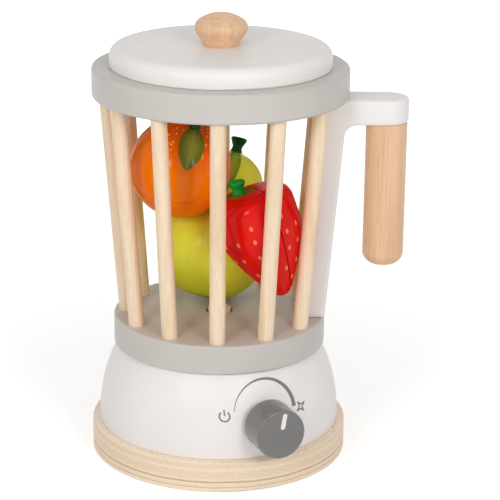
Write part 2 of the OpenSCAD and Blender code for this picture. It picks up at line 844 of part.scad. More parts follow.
module pear_half(side) {
    color("yellowgreen") at_pear() difference() {
        across(pear_cut_angle) keep_side(side, pear_cut_out) across_back(pear_cut_angle) pear_whole();
        across(pear_cut_angle) fastener_recesses(pear_cut_out);
        translate([0, 0, pear_neck_rise + pear_neck_r]) stem_hole();
    }
}

// Undoes across()
module across_back(angle) {
    rotate([0, -90, 0]) rotate([0, 0, -angle]) children();
}

module pear_front_half() {
    pear_half(1);
}

module pear_back_half() {
    pear_half(-1);
}

module pear_fasteners() {
    color("snow") at_pear() across(pear_cut_angle) fastener_discs(pear_cut_out);
}

module pear_stem() {
    color("darkgreen") at_pear() translate([0, 0, pear_neck_rise + pear_neck_r]) stem();
}

// Half outline of a strawberry, tip up: two balls on one axis, with full sides and a flat top
module strawberry_outline() {
    tip = [0, strawberry_drop];
    side = [-strawberry_side_at.x, strawberry_side_at.y];
    circle(strawberry_r);
    translate(tip) circle(strawberry_tip_r);
    translate([0, -strawberry_shoulder.y]) square([strawberry_r, strawberry_shoulder.y]);
    translate([0, -strawberry_rise]) square([strawberry_shoulder.x, strawberry_rise]);
    translate([strawberry_shoulder.x, -strawberry_shoulder.y]) circle(strawberry_shoulder_r);
    intersection() {
        translate(side) circle(strawberry_side_r, $fn = 360);
        polygon([[0, 0], side + 2 * strawberry_side_r * unit(-side),
            side + 2 * strawberry_side_r * unit(tip - side), tip]);
    }
}

module strawberry_whole() {
    mirror([0, 0, 1]) rotate_extrude() intersection() {
        strawberry_outline();
        translate([0, -strawberry_rise]) square(plenty);
    }
}

module strawberry_half(side) {
    color("crimson") difference() {
        at_strawberry() difference() {
            across(strawberry_cut_angle) keep_side(side, strawberry_cut_out)
                across_back(strawberry_cut_angle) strawberry_whole();
            across(strawberry_cut_angle) fastener_recesses(strawberry_cut_out);
        }
        at_strawberry_stem() stem_hole();
    }
}

module strawberry_large_half() {
    strawberry_half(-1);
}

module strawberry_small_half() {
    strawberry_half(1);
}

module strawberry_fasteners() {
    color("snow") at_strawberry() across(strawberry_cut_angle) fastener_discs(strawberry_cut_out);
}

module strawberry_stem() {
    color("green") at_strawberry_stem() stem(strawberry_stem_h);
}

base_plate();
base_housing();
base_screws();
control_knob();
knob_pointer();
control_shaft();
lift_cam();
cam_pin();
lift_peg();
peg_foot();
jug_floor();
top_ring();
handle_bracket();
bracket_dowels();
handle_grip();
grip_dowel();
lid_disc();
lid_plug();
lid_knob();
lid_screw();
orange_upper_half();
orange_lower_half();
orange_fasteners();
orange_stem();
pear_front_half();
pear_back_half();
pear_fasteners();
pear_stem();
strawberry_large_half();
strawberry_small_half();
strawberry_fasteners();
strawberry_stem();
for (i = [1:RODS]) rod(i);
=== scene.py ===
"""A wooden play blender with a caged jug, play fruit and a lift-off lid.

The frame's CAD nodes keep their places. Shapes that need softer edges or finer curves are remade here,
and every surface gets a procedural material. Sizes in this file are in millimetres unless they say otherwise.
"""
import json
import math

import bmesh
import bpy
from mathutils import Matrix, Vector


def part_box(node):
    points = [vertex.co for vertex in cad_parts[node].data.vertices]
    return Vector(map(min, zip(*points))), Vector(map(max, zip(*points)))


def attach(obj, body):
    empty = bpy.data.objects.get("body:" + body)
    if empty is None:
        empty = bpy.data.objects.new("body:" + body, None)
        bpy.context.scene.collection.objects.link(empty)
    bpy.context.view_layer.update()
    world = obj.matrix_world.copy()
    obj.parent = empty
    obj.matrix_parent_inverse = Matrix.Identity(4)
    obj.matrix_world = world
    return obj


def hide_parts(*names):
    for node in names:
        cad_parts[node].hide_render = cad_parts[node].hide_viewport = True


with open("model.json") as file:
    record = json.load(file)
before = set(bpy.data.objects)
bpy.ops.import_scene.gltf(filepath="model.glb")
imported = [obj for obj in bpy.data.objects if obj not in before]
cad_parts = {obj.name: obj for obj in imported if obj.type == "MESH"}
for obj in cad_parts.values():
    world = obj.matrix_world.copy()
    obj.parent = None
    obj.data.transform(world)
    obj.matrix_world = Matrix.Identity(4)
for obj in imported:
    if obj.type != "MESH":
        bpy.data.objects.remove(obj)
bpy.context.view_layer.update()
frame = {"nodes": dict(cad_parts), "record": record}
nodes = frame["nodes"]
MM = 0.001

# The photograph's camera
CAMERA_AT = Vector((18.64, -970.68, 422.18))
CAMERA_YAW = -0.177
CAMERA_PITCH = 18.011
CAMERA_ROLL = 0.669
LENS = 142.19
SENSOR = 36

# Light. The two front lights mirror each other
WORLD_LIGHT = 0.49
LIGHT_TARGET = (0, 0, 130)
FRONT_LIGHT = 3.6
FRONT_LIGHT_AT = (520, -1050, 620)
FRONT_LIGHT_SIZE = (320, 320)
TOP_LIGHT = 0.35
TOP_LIGHT_AT = (0, -150, 950)
TOP_LIGHT_SIZE = (600, 600)
FLOOR_SIZE = 3000
FLOOR_GREY = 0.86
# The floor's own white, from this distance to that one, in metres, and from this strength to that one
FLOOR_GLOW = (0.15, 1.0, 0.44, 1.0)

# Turn of the control knob's axis from the front
KNOB_TURN = 24.1

# Fruit. A direction is a tilt from straight up and an angle round the jug. A leaf's half width is an angle
ORANGE_CUT = (30.6, -99.5)
ORANGE_STEM = (24.5, -46)
ORANGE_LEAF_TIP = (79.7, -82)
ORANGE_LEAF_HALF_W = 14.5
PEAR_AXIS = (26, 60.2)
PEAR_NECK_RISE = 32.9
PEAR_NECK_R = 18.4
PEAR_WAIST_R = 21
PEAR_FLAT = 0.93
PEAR_CUT_ANGLE = -90
PEAR_CUT_OUT = -3
PEAR_LEAF_TIP = (84, -92)
PEAR_LEAF_HALF_W = 12
STRAWBERRY_AXIS = (20.4, 170)
STRAWBERRY_R = 21.5
STRAWBERRY_TIP_R = 6.1
STRAWBERRY_DROP = 32.2
STRAWBERRY_RISE = 18.6
STRAWBERRY_SHOULDER_R = 9
STRAWBERRY_SIDE_R = 110
STRAWBERRY_STEM_OUT = 4.2
STRAWBERRY_STEM = (12.4, 170)
STRAWBERRY_STEM_H = 6.8
STRAWBERRY_CUT_ANGLE = 20
STRAWBERRY_CUT_OUT = 4
STRAWBERRY_HOLLOW = 0.35
# Rows of seeds round the strawberry: height, angle of the first seed and number of seeds
SEED_ROWS = ((4.3, -96, 8), (-2.9, -99, 15), (-11.8, -102, 14), (-21.8, -125, 11), (-29.5, -100, 6))
# Half a seed along the strawberry, round it and out of it
SEED_REACH = (1.35, 0.85, 0.14)
# How far a seed strays from its row, up or down and in degrees round the strawberry
SEED_STRAY = 0.8
SEED_STRAY_TURN = 2
# Gap between the halves of a fruit, and rounding of the cut's rim
HALF_GAP = 0.4
SEAM_R = 0.45

# Stems
STEM_H = 8
STEM_SINK = 0.5
STEM_FOOT_R = 3.2
STEM_WAIST_R = 2.4
STRAWBERRY_WAIST_R = 2.9
STEM_WAIST_Z = 2.8
STEM_RIM_R = 4.3
STEM_RIM_H = 1.2


# ---------------------------------------------------------------- frame helpers

def box_mm(*names):
    """Lowest and highest corner of some CAD nodes together, in millimetres."""
    boxes = [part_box(n) for n in names]
    low = Vector([min(b[0][i] for b in boxes) for i in range(3)]) / MM
    high = Vector([max(b[1][i] for b in boxes) for i in range(3)]) / MM
    return low, high


def pointing(tilt, angle):
    """Unit vector that leans by tilt from straight up, towards an angle round the jug."""
    t, a = math.radians(tilt), math.radians(angle)
    return Vector((math.sin(t) * math.cos(a), math.sin(t) * math.sin(a), math.cos(t)))


def standing(at, tilt, angle):
    """Frame whose z leans by tilt towards angle, without turning about itself."""
    turn = Matrix.Rotation(math.radians(angle), 4, "Z")
    return Matrix.Translation(at) @ turn @ Matrix.Rotation(math.radians(tilt), 4, "Y") @ turn.inverted()


def across(turn):
    """Direction that a lengthwise cut faces, in its fruit's own frame."""
    return Vector((math.cos(math.radians(turn)), math.sin(math.radians(turn)), 0))


def fruit_place(fasteners, axis, turn, out):
    """Frame of a fruit, found from the fasteners in the middle of its lengthwise cut."""
    low, high = box_mm(fasteners)
    turned_frame = standing(Vector(), *axis)
    return standing((low + high) / 2 - turned_frame @ (across(turn) * out), *axis)


orange_low, orange_high = box_mm("orange_upper_half", "orange_lower_half")
orange_middle = (orange_low + orange_high) / 2
orange_r = (orange_high.x - orange_low.x) / 2
pear_place = fruit_place("pear_fasteners", PEAR_AXIS, PEAR_CUT_ANGLE, PEAR_CUT_OUT)
neck_middle = pear_place @ Vector((0, 0, PEAR_NECK_RISE))
strawberry_place = fruit_place("strawberry_fasteners", STRAWBERRY_AXIS, STRAWBERRY_CUT_ANGLE,
                               STRAWBERRY_CUT_OUT)
strawberry_stem_at = strawberry_place @ (across(STRAWBERRY_AXIS[1]) * STRAWBERRY_STEM_OUT
                                         + Vector((0, 0, STRAWBERRY_RISE)))


# ---------------------------------------------------------------- mesh helpers

def arc(centre, r, start, end, steps):
    """Points on a round arc, with angles in degrees."""
    turn = [math.radians(start + (end - start) * i / steps) for i in range(steps + 1)]
    return [(centre[0] + r * math.cos(a), centre[1] + r * math.sin(a)) for a in turn]


def rounded(corners, steps=6):
    """Closed outline from (x, y, radius) corners, each rounded by its radius."""
    points = []
    count = len(corners)
    for i, (x, y, r) in enumerate(corners):
        here = Vector((x, y))
        if r == 0:
            points.append((x, y))
            continue
        before = (Vector(corners[i - 1][:2]) - here).normalized()
        after = (Vector(corners[(i + 1) % count][:2]) - here).normalized()
        half = before.angle(after) / 2
        middle = here + (before + after).normalized() * (r / math.sin(half))
        first = here + before * (r / math.tan(half)) - middle
        last = here + after * (r / math.tan(half)) - middle
        for k in range(steps + 1):
            way = first.slerp(last, k / steps)
            points.append(tuple(middle + way.normalized() * r))
    return points


def smooth(mesh, angle=32):
    """Smooth shading, but edges sharper than the angle stay sharp."""
    mesh.shade_smooth()
    mesh.set_sharp_from_angle(angle=math.radians(angle))


def finish_mesh(name, bm, place=None, smooth_angle=32):
    """Object from a bmesh in millimetres, moved to its place in the frame."""
    bmesh.ops.remove_doubles(bm, verts=bm.verts, dist=1e-4)
    bmesh.ops.recalc_face_normals(bm, faces=bm.faces)
    if place is not None:
        bmesh.ops.transform(bm, matrix=place, verts=bm.verts)
    bmesh.ops.scale(bm, vec=(MM, MM, MM), verts=bm.verts)
    mesh = bpy.data.meshes.new(name)
    bm.to_mesh(mesh)
    bm.free()
    smooth(mesh, smooth_angle)
    piece = bpy.data.objects.new(name, mesh)
    bpy.context.scene.collection.objects.link(piece)
    return piece


def turned_bmesh(outline, segments, closed=False):
    """Revolved outline of (radius, height) points. An open outline starts and ends on the axis."""
    bm = bmesh.new()
    rings = []
    for r, z in outline:
        if r < 1e-6:
            rings.append([bm.verts.new((0, 0, z))])
            continue
        turn = [2 * math.pi * k / segments for k in range(segments)]
        rings.append([bm.verts.new((r * math.cos(a), r * math.sin(a), z)) for a in turn])
    pairs = list(zip(rings, rings[1:]))
    if closed:
        pairs.append((rings[-1], rings[0]))
    for low, high in pairs:
        for k in range(segments):
            n = (k + 1) % segments
            corners = [low[k % len(low)], low[n % len(low)], high[n % len(high)], high[k % len(high)]]
            corners = list(dict.fromkeys(corners))
            if len(corners) > 2:
                bm.faces.new(corners)
    return bm


def turned(name, outline, segments, place=None, closed=False):
    return finish_mesh(name, turned_bmesh(outline, segments, closed), place)


def slice_at(bm, point, normal, near=1e-5, **clear):
    """Cuts a mesh along a plane."""
    everything = bm.verts[:] + bm.edges[:] + bm.faces[:]
    bmesh.ops.bisect_plane(bm, geom=everything, dist=near, plane_co=point, plane_no=normal, **clear)


def keep_half(bm, point, normal):
    """Keeps what lies beyond a plane, closes the cut and rounds its rim."""
    for share in (1.0, 0.6, 0.3, 0.1):
        slice_at(bm, point + share * SEAM_R * normal, normal)
    slice_at(bm, point, normal, clear_inner=True)
    bm.normal_update()
    moves = {}
    for v in bm.verts:
        depth = (v.co - point).dot(normal)
        if depth < SEAM_R:
            out = v.normal - v.normal.dot(normal) * normal
            inwards = SEAM_R - math.sqrt(max(0, SEAM_R ** 2 - (SEAM_R - depth) ** 2))
            moves[v] = -inwards * out.normalized()
    for v, move in moves.items():
        v.co += move
    rim = [e for e in bm.edges if e.is_boundary]
    bmesh.ops.edgeloop_fill(bm, edges=rim)


def patch(name, outline, surface, lift, step):
    """Thin skin on a surface: meshes a flat outline, and surface(x, y, height) puts each point in place."""
    flat = bmesh.new()
    flat.faces.new([flat.verts.new((x, y, 0)) for x, y in outline])
    for axis in (Vector((1, 0, 0)), Vector((0, 1, 0))):
        along = [Vector((x, y, 0)).dot(axis) for x, y in outline]
        for k in range(1, int((max(along) - min(along)) / step) + 1):
            slice_at(flat, axis * (min(along) + k * step), axis, near=1e-6)
    bmesh.ops.triangulate(flat, faces=flat.faces)
    flat.verts.index_update()
    bm = bmesh.new()
    upper = [bm.verts.new(surface(v.co.x, v.co.y, lift)) for v in flat.verts]
    lower = [bm.verts.new(surface(v.co.x, v.co.y, -lift)) for v in flat.verts]
    for f in flat.faces:
        ids = [v.index for v in f.verts]
        bm.faces.new([upper[k] for k in ids])
        bm.faces.new([lower[k] for k in reversed(ids)])
    for e in flat.edges:
        if e.is_boundary:
            a, b = (v.index for v in e.verts)
            bm.faces.new([upper[a], upper[b], lower[b], lower[a]])
    flat.free()
    return finish_mesh(name, bm)


# ---------------------------------------------------------------- materials, in metres

def linear(r, g, b):
    """Scene colour of an 8-bit screen colour."""
    def channel(c):
        c /= 255
        return c / 12.92 if c <= 0.04045 else ((c + 0.055) / 1.055) ** 2.4
    return (channel(r), channel(g), channel(b), 1)


# A sprayed leaf's soft rim and its vein's soft edge, as shares of the ball's radius, and its colours
LEAF_RIM = (-0.012, 0.014)
LEAF_VEIN_REACH = (0.03, 0.008)
LEAF_DEEP = linear(56, 112, 26)
LEAF_PALE = linear(142, 160, 62)
LEAF_VEIN = linear(176, 186, 96)
# Height of the bumps on paint, wood and fabric
PAINT_RIPPLE = 0.0002
WOOD_RIPPLE = 0.00015
FABRIC_LOOPS = 0.0004
BLACK = (0, 0, 0, 1)
WHITE = (1, 1, 1, 1)


class Nodes:
    """Short way to build a material from nodes."""

    def __init__(self, name, roughness, coat=0.0, coat_roughness=0.1):
        self.material = bpy.data.materials.new(name)
        self.material.use_nodes = True
        self.tree = self.material.node_tree
        self.shader = self.tree.nodes["Principled BSDF"]
        self.shader.inputs["Roughness"].default_value = roughness
        self.shader.inputs["Coat Weight"].default_value = coat
        self.shader.inputs["Coat Roughness"].default_value = coat_roughness

    def add(self, kind, **settings):
        node = self.tree.nodes.new(kind)
        for name, value in settings.items():
            setattr(node, name, value)
        return node

    def link(self, source, target):
        self.tree.links.new(source, target)

    def feed(self, socket, value):
        """Links a socket to another node's, or sets it."""
        if isinstance(value, bpy.types.NodeSocket):
            self.link(value, socket)
        elif value is not None:
            socket.default_value = value

    def place(self, scale=(1, 1, 1)):
        """Object coordinates, stretched."""
        where = self.add("ShaderNodeTexCoord")
        mapping = self.add("ShaderNodeMapping")
        mapping.inputs["Scale"].default_value = scale
        self.link(where.outputs["Object"], mapping.inputs["Vector"])
        return mapping.outputs["Vector"]

    def noise(self, vector, scale, detail, roughness=0.55, distortion=0.0):
        node = self.add("ShaderNodeTexNoise")
        node.inputs["Scale"].default_value = scale
        node.inputs["Detail"].default_value = detail
        node.inputs["Roughness"].default_value = roughness
        node.inputs["Distortion"].default_value = distortion
        self.link(vector, node.inputs["Vector"])
        return node.outputs["Fac"]

    def ramp(self, factor, stops):
        node = self.add("ShaderNodeValToRGB")
        slots = node.color_ramp.elements
        while len(slots) < len(stops):
            slots.new(0.5)
        for slot, (at, colour) in zip(slots, stops):
            slot.position = at
            slot.color = colour
        self.link(factor, node.inputs["Fac"])
        return node.outputs["Color"]

    def mix(self, factor, first, second, kind="MIX"):
        node = self.add("ShaderNodeMix", data_type="RGBA", blend_type=kind)
        sockets = {s.name: s for s in node.inputs if s.enabled}
        for name, value in (("Factor", factor), ("A", first), ("B", second)):
            self.feed(sockets[name], value)
        return next(o for o in node.outputs if o.enabled)

    def math(self, kind, first, second=None):
        node = self.add("ShaderNodeMath", operation=kind)
        for k, value in enumerate((first, second)):
            self.feed(node.inputs[k], value)
        return node.outputs["Value"]

    def times(self, first, second):
        return self.math("MULTIPLY", first, second)

    def between(self, value, start, end):
        """0 before start, 1 past end and a soft step in between."""
        node = self.add("ShaderNodeMapRange", interpolation_type="SMOOTHSTEP")
        node.inputs["From Min"].default_value = start
        node.inputs["From Max"].default_value = end
        self.link(value, node.inputs["Value"])
        return node.outputs["Result"]

    def vector(self, kind, first, second=None):
        node = self.add("ShaderNodeVectorMath", operation=kind)
        for k, value in enumerate((first, second)):
            self.feed(node.inputs[k], value)
        return node.outputs["Value" if kind in ("DOT_PRODUCT", "DISTANCE") else "Vector"]

    def way_from(self, middle):
        """Direction of the shaded point from a middle in millimetres."""
        return self.vector("NORMALIZE", self.vector("SUBTRACT", self.place(), middle * MM))

    def leaf(self, way, start, end, half_width):
        """Masks of a leaf sprayed on a ball between two directions: its area, its depth and its vein."""
        middle = (start + end).normalized()
        side = middle.cross(end - start).normalized()
        gaps = []
        for turn in (math.radians(half_width), -math.radians(half_width)):
            edge = middle * math.cos(turn) + side * math.sin(turn)
            normal = (end - start).cross(edge - start).normalized()
            if normal.dot(middle - start) < 0:
                normal.negate()
            gaps.append(self.math("SUBTRACT", self.vector("DOT_PRODUCT", way, normal), normal.dot(start)))
            deepest = normal.dot(middle - start)
        inner = self.math("MINIMUM", *gaps)
        area = self.between(inner, *LEAF_RIM)
        off = self.math("ABSOLUTE", self.vector("DOT_PRODUCT", way, side))
        return area, self.between(inner, 0, deepest), self.between(off, *LEAF_VEIN_REACH)

    def colour(self, source):
        self.link(source, self.shader.inputs["Base Color"])

    def roughen(self, factor, low, high):
        node = self.add("ShaderNodeMapRange")
        node.inputs["To Min"].default_value = low
        node.inputs["To Max"].default_value = high
        self.link(factor, node.inputs["Value"])
        self.link(node.outputs["Result"], self.shader.inputs["Roughness"])

    def bump(self, height, strength, distance):
        node = self.add("ShaderNodeBump")
        node.inputs["Strength"].default_value = strength
        node.inputs["Distance"].default_value = distance
        self.link(height, node.inputs["Height"])
        self.link(node.outputs["Normal"], self.shader.inputs["Normal"])


def shade(colour, factor):
    return (colour[0] * factor, colour[1] * factor, colour[2] * factor, 1)


def painted(m, colour, variation, roughness, ripple, grain=(60, 60, 60)):
    """Rippled paint, where the wood's grain lifts it. Returns its faintly cloudy colour."""
    fine = m.noise(m.place(scale=grain), 12, 5, 0.6)
    m.roughen(fine, *roughness)
    m.bump(fine, ripple, PAINT_RIPPLE)
    cloud = m.noise(m.place(), 35, 3)
    return m.ramp(cloud, [(0.3, shade(colour, 1 - variation)), (0.7, shade(colour, 1 + variation / 2))])


def lacquer(name, colour, roughness, coat=0.0, ripple=0.12, variation=0.03, grain=(60, 60, 60)):
    """Painted wood in one colour."""
    m = Nodes(name, roughness, coat)
    m.colour(painted(m, colour, variation, (roughness - 0.05, roughness + 0.07), ripple, grain))
    return m.material


def fruit_paint(name, colour, variation=0.04):
    """Glossy coloured lacquer. Returns the builder and its colour, so that more can be sprayed on."""
    m = Nodes(name, 0.3, coat=0.32, coat_roughness=0.16)
    m.shader.inputs["Specular IOR Level"].default_value = 0
    return m, painted(m, colour, variation, (0.25, 0.35), 0.1)


def with_leaf(m, tone, way, start, end, half_width, within=None, deep=LEAF_DEEP, pale=LEAF_PALE):
    """Sprays a leaf with a paler middle and vein over a tone, only within a mask if there is one."""
    area, depth, vein = m.leaf(way, start, end, half_width)
    green = m.mix(depth, deep, pale)
    green = m.mix(m.times(vein, 0.3), green, LEAF_VEIN)
    if within is not None:
        area = m.times(area, within)
    return m.mix(m.times(area, 0.9), tone, green)


def plain_paint(name, colour):
    m, tone = fruit_paint(name, colour, 0.06)
    m.colour(tone)
    return m.material


def orange_paint(name):
    """Orange lacquer, redder round the stem, with pale dots there and a sprayed leaf below it."""
    m, tone = fruit_paint(name, linear(255, 128, 0))
    way = m.way_from(orange_middle)
    stem = pointing(*ORANGE_STEM)
    blush = m.between(m.vector("DOT_PRODUCT", way, stem), 0.3, 0.95)
    tone = m.mix(m.times(blush, 0.8), tone, linear(232, 78, 0))
    cells = m.add("ShaderNodeTexVoronoi")
    cells.inputs["Scale"].default_value = 420
    m.link(m.place(), cells.inputs["Vector"])
    dots = m.between(cells.outputs["Distance"], 0.3, 0.18)
    near = m.between(m.vector("DOT_PRODUCT", way, stem), 0.62, 0.8)
    tone = m.mix(m.times(m.times(dots, near), 0.85), tone, linear(255, 205, 110))
    m.colour(with_leaf(m, tone, way, stem, pointing(*ORANGE_LEAF_TIP), ORANGE_LEAF_HALF_W))
    return m.material


def pear_paint(name):
    """Yellow-green lacquer with painted shade that darkens it to olive towards the bottom, and a sprayed leaf
    down the neck.
    """
    m, tone = fruit_paint(name, linear(236, 238, 66), 0.05)
    gap = m.vector("DISTANCE", m.place(), neck_middle * MM)
    on_neck = m.between(gap, 1.2 * PEAR_NECK_R * MM, 1.05 * PEAR_NECK_R * MM)
    # Painted shade: the pear turns a darker olive towards its bottom
    down = m.vector("DOT_PRODUCT", m.way_from(pear_place.translation), -pointing(*PEAR_AXIS))
    tone = m.mix(m.times(m.between(down, 0.1, 0.95), 0.7), tone, linear(182, 180, 26))
    way = m.way_from(neck_middle)
    m.colour(with_leaf(m, tone, way, pointing(*PEAR_AXIS), pointing(*PEAR_LEAF_TIP), PEAR_LEAF_HALF_W,
                       on_neck, linear(92, 142, 26), linear(150, 178, 40)))
    return m.material


def strawberry_paint(name):
    """Red lacquer with sprayed green round the stem."""
    m, tone = fruit_paint(name, linear(232, 16, 8))
    gap = m.vector("DISTANCE", m.place(), strawberry_stem_at * MM)
    ragged = m.math("ADD", gap, m.times(m.noise(m.place(), 400, 2), 0.004))
    halo = m.between(ragged, 0.0125, 0.0075)
    m.colour(m.mix(m.times(halo, 0.78), tone, linear(60, 124, 36)))
    return m.material


def timber(name, light, dark, fleck=0.0):
    """Clear-lacquered upright wood, with broad growth bands, fine fibres and any small ray flecks."""
    m = Nodes(name, 0.42)
    bands = m.noise(m.place(scale=(1, 1, 0.06)), 150, 2, 0.5, 0.6)
    fibres = m.noise(m.place(scale=(1, 1, 0.021)), 1500, 4, 0.65)
    middle = tuple((a + b) / 2 for a, b in zip(light, dark))
    base = m.ramp(bands, [(0.32, middle), (0.5, light), (0.72, middle)])
    streak = m.ramp(fibres, [(0.36, shade(dark, 0.9)), (0.52, WHITE)])
    tone = m.mix(0.22, base, streak, "MULTIPLY")
    if fleck:
        spots = m.noise(m.place(scale=(1, 1, 0.132)), 900, 1, 0.4)
        mask = m.ramp(spots, [(0.66, BLACK), (0.71, WHITE)])
        tone = m.mix(m.times(mask, fleck), tone, shade(dark, 0.72))
    m.colour(tone)
    m.roughen(fibres, 0.37, 0.52)
    m.bump(fibres, 0.16, WOOD_RIPPLE)
    return m.material


def plywood(name, height):
    """Edge of a plywood disc: plies in bands over its height, each with its own fibres."""
    m = Nodes(name, 0.45)
    split = m.add("ShaderNodeSeparateXYZ")
    m.link(m.place(), split.inputs["Vector"])
    level = m.times(split.outputs["Z"], 1 / (height * MM))
    wobble = m.noise(m.place(scale=(1, 1, 0.2)), 40, 2)
    level = m.math("ADD", level, m.times(m.math("SUBTRACT", wobble, 0.5), 0.05))
    pale, plain, deep = linear(252, 233, 210), linear(244, 222, 192), linear(208, 174, 140)
    bands = m.ramp(level, [
        (0.0, plain), (0.035, pale), (0.13, pale), (0.15, deep), (0.175, plain), (0.3, pale), (0.325, deep),
        (0.35, deep), (0.37, plain), (0.42, pale), (0.46, plain), (0.68, plain), (0.72, pale), (0.78, pale),
        (0.81, plain), (0.94, plain), (0.97, pale), (1.0, pale)])
    fibres = m.noise(m.place(scale=(1, 1, 3.5)), 900, 4, 0.65)
    streak = m.ramp(fibres, [(0.34, shade(deep, 0.9)), (0.52, WHITE)])
    flecks = m.noise(m.place(scale=(1, 1, 5)), 420, 1, 0.4)
    mask = m.ramp(flecks, [(0.66, BLACK), (0.72, WHITE)])
    tone = m.mix(0.3, bands, streak, "MULTIPLY")
    m.colour(m.mix(m.times(mask, 0.35), tone, deep))
    m.roughen(fibres, 0.4, 0.55)
    m.bump(fibres, 0.2, PAINT_RIPPLE)
    return m.material


def steel(name):
    m = Nodes(name, 0.3)
    m.shader.inputs["Metallic"].default_value = 1
    rub = m.noise(m.place(scale=(1, 1, 0.2)), 900, 3)
    m.colour(m.ramp(rub, [(0.3, linear(178, 176, 172)), (0.7, linear(205, 203, 200))]))
    m.roughen(rub, 0.24, 0.4)
    return m.material


def fabric(name):
    m = Nodes(name, 0.95)
    loops = m.noise(m.place(), 2600, 2, 0.7)
    m.colour(m.ramp(loops, [(0.35, linear(205, 203, 198)), (0.65, linear(244, 243, 240))]))
    m.bump(loops, 0.8, FABRIC_LOOPS)
    return m.material


MATERIALS = {
    "plywood": plywood("plywood", box_mm("base_plate")[1].z),
    "white_lacquer": lacquer("white_lacquer", linear(244, 240, 237), 0.42),
    "grey_lacquer": lacquer("grey_lacquer", linear(206, 200, 194), 0.45),
    "dark_grey_lacquer": lacquer("dark_grey_lacquer", linear(114, 112, 111), 0.28, coat=0.5, ripple=0.3,
                                 variation=0.05, grain=(60, 60, 8)),
    "rod_wood": timber("rod_wood", linear(250, 228, 199), linear(232, 196, 150)),
    "beech": timber("beech", linear(240, 199, 161), linear(216, 168, 127), fleck=0.22),
    "screw_steel": steel("screw_steel"),
    "orange_paint": orange_paint("orange_paint"),
    "pear_paint": pear_paint("pear_paint"),
    "strawberry_paint": strawberry_paint("strawberry_paint"),
    "dark_green_paint": plain_paint("dark_green_paint", linear(14, 84, 26)),
    "bright_green_paint": plain_paint("bright_green_paint", linear(22, 160, 58)),
    "touch_fastener": fabric("touch_fastener"),
    "seed_paint": plain_paint("seed_paint", linear(252, 142, 80)),
    "mark_ink": lacquer("mark_ink", linear(128, 126, 124), 0.5, ripple=0.05),
}
slot_of = {s["node"]: s["material_slot"] for s in frame["record"]["subparts"]}


def dress(piece, finish):
    piece.data.materials.clear()
    piece.data.materials.append(MATERIALS[finish])


def add_piece(piece, body, slot, node):
    """Gives a new piece its finish, its body and the CAD node that it stands for."""
    dress(piece, slot)
    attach(piece, body)
    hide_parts(node)


for node_name, node in nodes.items():
    dress(node, slot_of[node_name])


# ---------------------------------------------------------------- camera, light and floor

def make_camera():
    yaw, pitch, roll = (math.radians(a) for a in (CAMERA_YAW, CAMERA_PITCH, CAMERA_ROLL))
    ahead = Vector((math.sin(yaw) * math.cos(pitch), math.cos(yaw) * math.cos(pitch), -math.sin(pitch)))
    right = Vector((math.cos(yaw), -math.sin(yaw), 0))
    up = right.cross(ahead)
    level = math.cos(roll) * right + math.sin(roll) * up
    above = -math.sin(roll) * right + math.cos(roll) * up
    data = bpy.data.cameras.new("camera")
    data.lens = LENS
    data.sensor_width = SENSOR
    camera = bpy.data.objects.new("camera", data)
    turn = Matrix((level, above, -ahead)).transposed().to_4x4()
    camera.matrix_world = Matrix.Translation(CAMERA_AT * MM) @ turn
    bpy.context.scene.collection.objects.link(camera)
    bpy.context.scene.camera = camera


def seen_directly(tree):
    """1 where the camera, a reflection or glass looks, 0 for the light that falls on things."""
    path = tree.nodes.new("ShaderNodeLightPath")
    total = path.outputs["Is Camera Ray"]
    for name in ("Is Glossy Ray", "Is Transmission Ray"):
        either = tree.nodes.new("ShaderNodeMath")
        either.operation = "MAXIMUM"
        tree.links.new(total, either.inputs[0])
        tree.links.new(path.outputs[name], either.inputs[1])
        total = either.outputs["Value"]
    return total


def make_world():
    world = bpy.data.worlds.new("studio")
    world.use_nodes = True
    bpy.context.scene.world = world
    tree = world.node_tree
    background = tree.nodes["Background"]
    strength = tree.nodes.new("ShaderNodeMapRange")
    strength.inputs["To Min"].default_value = WORLD_LIGHT
    strength.inputs["To Max"].default_value = 1
    tree.links.new(seen_directly(tree), strength.inputs["Value"])
    tree.links.new(strength.outputs["Result"], background.inputs["Strength"])
    background.inputs["Color"].default_value = WHITE


def make_floor():
    bm = bmesh.new()
    bmesh.ops.create_grid(bm, x_segments=1, y_segments=1, size=FLOOR_SIZE)
    floor = finish_mesh("floor", bm)
    material = bpy.data.materials.new("floor")
    material.use_nodes = True
    tree = material.node_tree
    shader = tree.nodes["Principled BSDF"]
    shader.inputs["Base Color"].default_value = (FLOOR_GREY, FLOOR_GREY, FLOOR_GREY, 1)
    shader.inputs["Roughness"].default_value = 0.9
    shader.inputs["Specular IOR Level"].default_value = 0.1
    shader.inputs["Emission Color"].default_value = WHITE
    where = tree.nodes.new("ShaderNodeTexCoord")
    reach = tree.nodes.new("ShaderNodeVectorMath")
    reach.operation = "LENGTH"
    lift = tree.nodes.new("ShaderNodeMapRange")
    for name, value in zip(("From Min", "From Max", "To Min", "To Max"), FLOOR_GLOW):
        lift.inputs[name].default_value = value
    glow = tree.nodes.new("ShaderNodeMath")
    glow.operation = "MULTIPLY"
    tree.links.new(where.outputs["Object"], reach.inputs[0])
    tree.links.new(reach.outputs["Value"], lift.inputs["Value"])
    tree.links.new(seen_directly(tree), glow.inputs[0])
    tree.links.new(lift.outputs["Result"], glow.inputs[1])
    tree.links.new(glow.outputs["Value"], shader.inputs["Emission Strength"])
    floor.data.materials.append(material)


def area_light(name, at, size, power):
    data = bpy.data.lights.new(name, "AREA")
    data.shape = "RECTANGLE"
    data.size, data.size_y = (s * MM for s in size)
    data.energy = power
    lamp = bpy.data.objects.new(name, data)
    lamp.location = Vector(at) * MM
    lamp.rotation_euler = (Vector(LIGHT_TARGET) - Vector(at)).to_track_quat("-Z", "Y").to_euler()
    bpy.context.scene.collection.objects.link(lamp)


# ---------------------------------------------------------------- base

